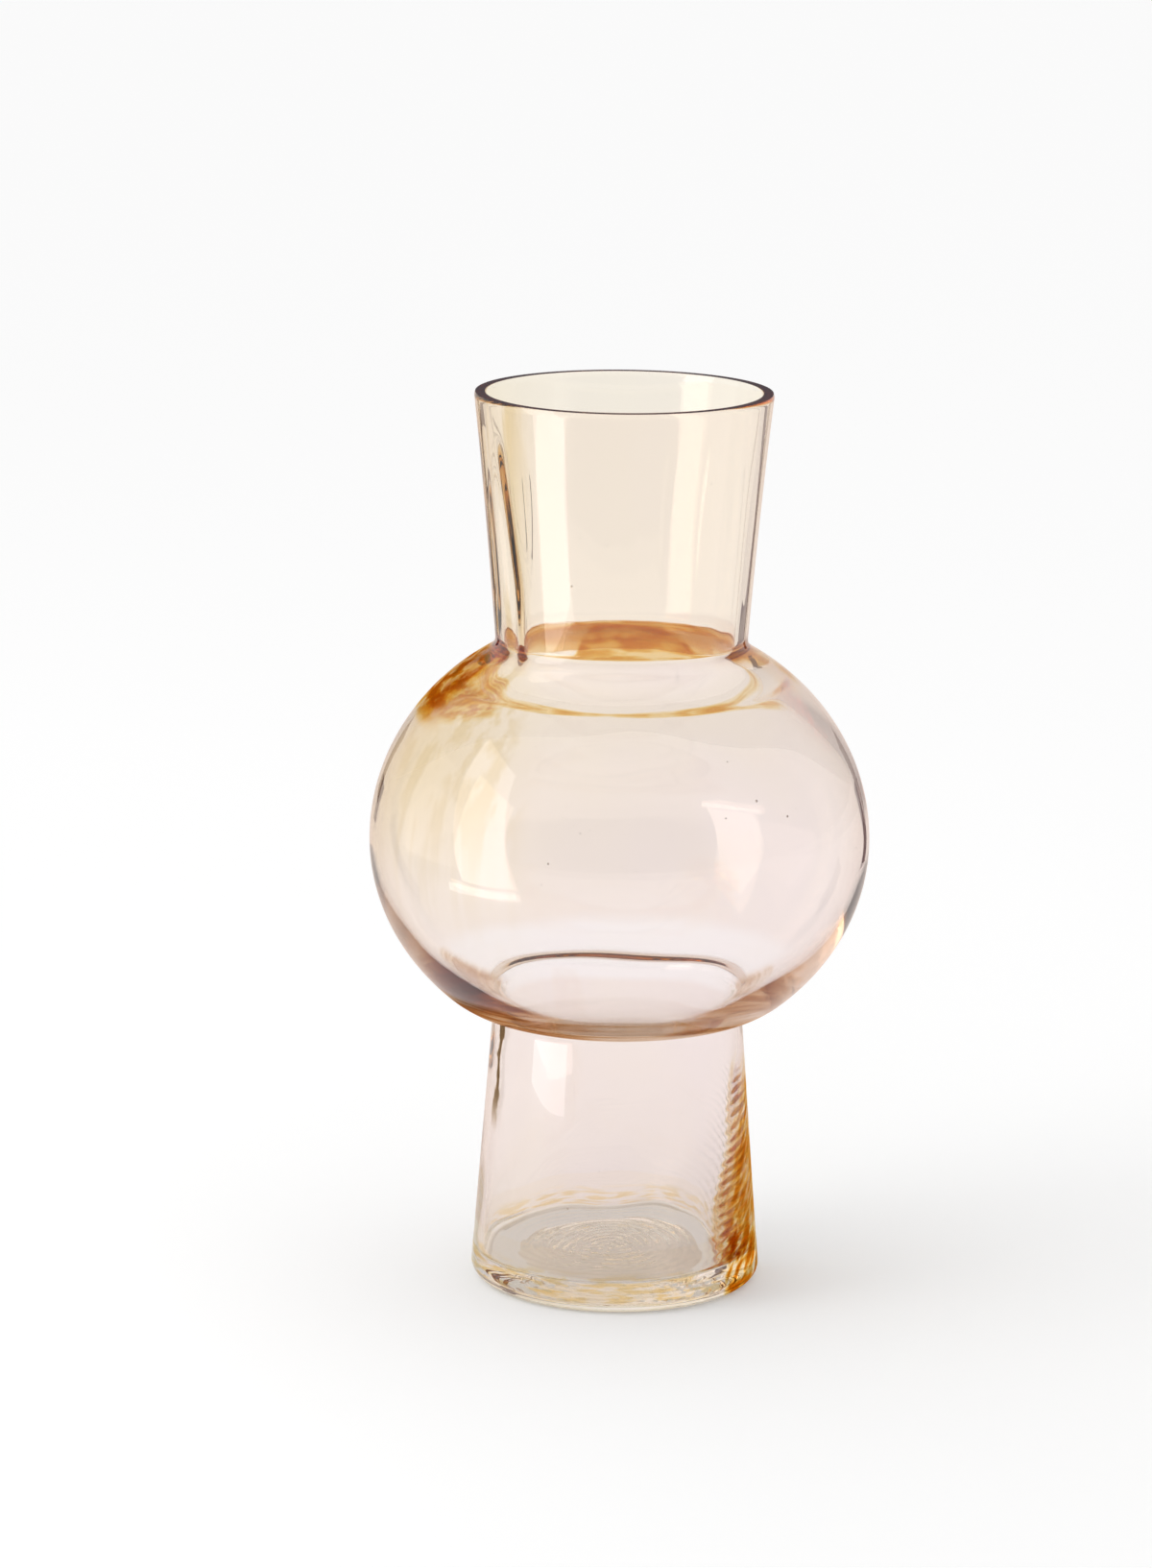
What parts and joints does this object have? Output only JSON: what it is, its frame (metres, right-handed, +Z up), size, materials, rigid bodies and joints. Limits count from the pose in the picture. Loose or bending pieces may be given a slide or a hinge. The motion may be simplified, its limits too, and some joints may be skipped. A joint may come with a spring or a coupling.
{
  "type": "glass bud vase",
  "caption": "Blown tinted glass vase with a flared open neck, a flattened round belly and a hollow conical foot on a thick base; holds flower stems and water.",
  "frame": {"origin": "centre of the bottom, on the plane the vase stands on", "axes": "+Z up along the vase's axis, towards the mouth; X and Y level, and equivalent because the vase is round"},
  "size_m": [0.1328, 0.1328, 0.24],
  "materials": {
    "base_glass": "clear thick glass with a faint straw tint, smooth rounded heel, swirled inner floor",
    "foot_glass": "pale peach-pink tinted clear glass, glossy, slightly rippled inside",
    "belly_glass": "pale peach-pink tinted clear glass, warmer at the shoulder, glossy, with a few seed bubbles",
    "neck_glass": "peach to amber tinted clear glass, glossy, slightly wavy inside",
    "rim_glass": "ground and polished flat rim of tinted glass with small bevels"
  },
  "bodies": {
    "root": {"base": "base_glass", "foot": "foot_glass", "waist": "foot_glass", "belly": "belly_glass", "shoulder": "belly_glass", "neck": "neck_glass", "rim": "rim_glass"}
  },
  "joints": []
}
